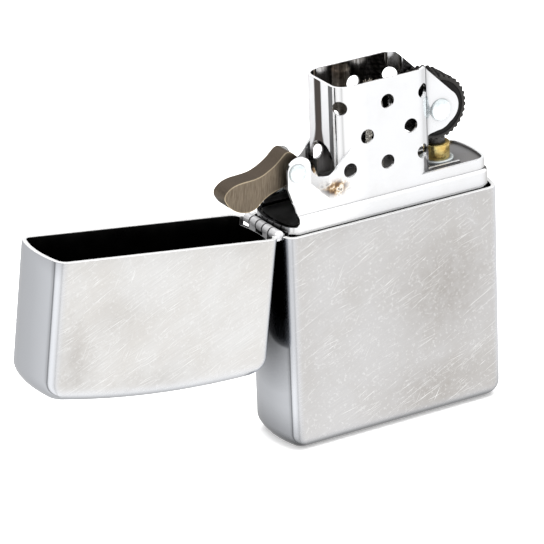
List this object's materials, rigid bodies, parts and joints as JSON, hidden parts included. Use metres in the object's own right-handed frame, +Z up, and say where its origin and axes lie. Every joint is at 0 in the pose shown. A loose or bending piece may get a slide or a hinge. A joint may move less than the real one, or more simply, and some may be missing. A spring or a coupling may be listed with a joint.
{
  "type": "flip-top pocket lighter",
  "caption": "Flip-top metal pocket lighter with hinged lid, lift-out insert, perforated chimney, spark wheel, snap cam, wick and flint tube.",
  "frame": {"origin": "centre of the case's flat bottom", "axes": "+Z up, +X towards the spark wheel and away from the lid hinge, +Y towards the back; the lid is open at rest, hanging on -X"},
  "size_m": [0.0784, 0.0126, 0.0551],
  "materials": {
    "case_chrome": "satin plate with fine scratches",
    "hinge_steel": "satin",
    "insert_steel": "polished stainless sheet",
    "plate_steel": "brushed",
    "tube_brass": "satin",
    "flint_metal": "matte",
    "spring_steel": "satin",
    "wheel_steel": "cut teeth, dark",
    "cam_bronze": "brushed, browned",
    "wick_cotton": "braided cotton",
    "copper_wire": "satin",
    "packing_cotton": "loose fibre",
    "felt": "felted"
  },
  "bodies": {
    "case": {"case_bottom": "case_chrome", "hinge_leaf_case": "hinge_steel", "hinge_pin": "hinge_steel"},
    "lid": {"lid_shell": "case_chrome", "hinge_leaf_lid": "hinge_steel"},
    "insert": {"insert_shell": "insert_steel", "insert_top_plate": "plate_steel", "flint_tube": "tube_brass", "flint_tube_washer": "insert_steel", "flint_spring": "spring_steel", "wheel_rivet": "insert_steel", "cam_rivet": "insert_steel", "cam_spring": "spring_steel", "cam_spring_rivet": "insert_steel", "wick": "wick_cotton", "wick_wire": "copper_wire", "cotton_lower": "packing_cotton", "cotton_middle": "packing_cotton", "cotton_upper": "packing_cotton", "felt_pad": "felt"},
    "cam": {"cam": "cam_bronze"},
    "wheel": {"flint_wheel": "wheel_steel"},
    "flint": {"flint": "flint_metal", "flint_spring_tip": "tube_brass"},
    "screw": {"flint_screw": "tube_brass"}
  },
  "joints": [
    {"name": "lid_hinge", "type": "hinge", "parent": "case", "child": "lid", "pos_m": [-0.01898, 0, 0.03465], "axis": [0, 1, 0], "range_deg": [0, 172.17]},
    {"name": "insert_lift", "type": "slide", "parent": "case", "child": "insert", "axis": [0, 0, -1], "range_m": [-0.04, 0]},
    {"name": "wheel_spin", "type": "hinge", "parent": "insert", "child": "wheel", "pos_m": [0.0099, 0, 0.04762], "axis": [0, 1, 0], "continuous": true},
    {"name": "cam_pivot", "type": "hinge", "parent": "insert", "child": "cam", "pos_m": [-0.01467, 0, 0.04307], "axis": [0, 1, 0], "range_deg": [0, 113]},
    {"name": "flint_feed", "type": "slide", "parent": "insert", "child": "flint", "axis": [0, 0, 1], "range_m": [-0.002, 0], "deforming": ["flint_spring"]},
    {"name": "screw_turn", "type": "hinge", "parent": "insert", "child": "screw", "pos_m": [0.0113, 0, 0.003], "axis": [0, 0, 1], "continuous": true}
  ],
  "couplings": [
    {"joint": "cam_pivot", "follows": "lid_hinge", "ratio": 0.6505}
  ]
}
